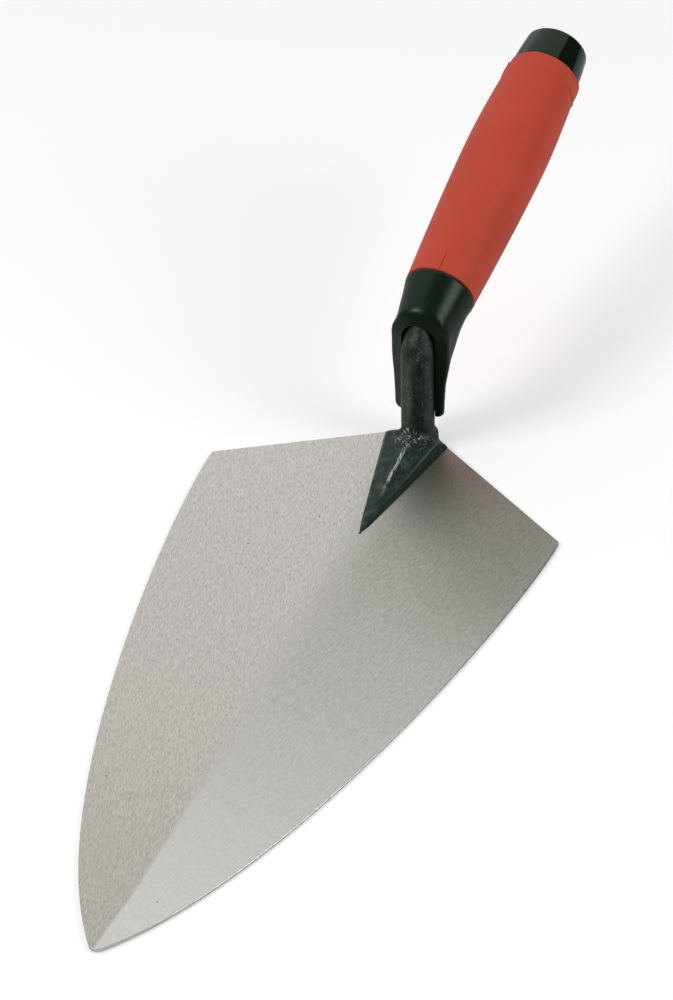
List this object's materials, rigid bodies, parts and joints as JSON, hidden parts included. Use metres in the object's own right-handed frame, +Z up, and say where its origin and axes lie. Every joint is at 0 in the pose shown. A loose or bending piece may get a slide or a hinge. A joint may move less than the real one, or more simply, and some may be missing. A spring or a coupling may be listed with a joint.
{
  "type": "brick trowel",
  "caption": "Brick trowel: flat pointed steel blade, round shank, and a soft-grip handle with a finger guard, rising behind the blade.",
  "frame": {"origin": "on the blade's flat underside, directly below the foot of the shank, on the centreline", "axes": "+X along the blade towards its toe, +Z up out of the blade's top face on the handle's side, +Y to the left when looking from the handle towards the toe; XZ is the plane of symmetry"},
  "size_m": [0.4184, 0.1396, 0.0979],
  "materials": {
    "forged_steel": "satin ground blade, black forging scale on the foot and shank",
    "hard_black": "semi-gloss moulded",
    "soft_red": "matte soft-touch",
    "gloss_black": "gloss"
  },
  "bodies": {
    "root": {"blade_forging": "forged_steel", "handle_core": "hard_black", "grip_sleeve": "soft_red", "end_cap": "gloss_black"}
  },
  "joints": []
}
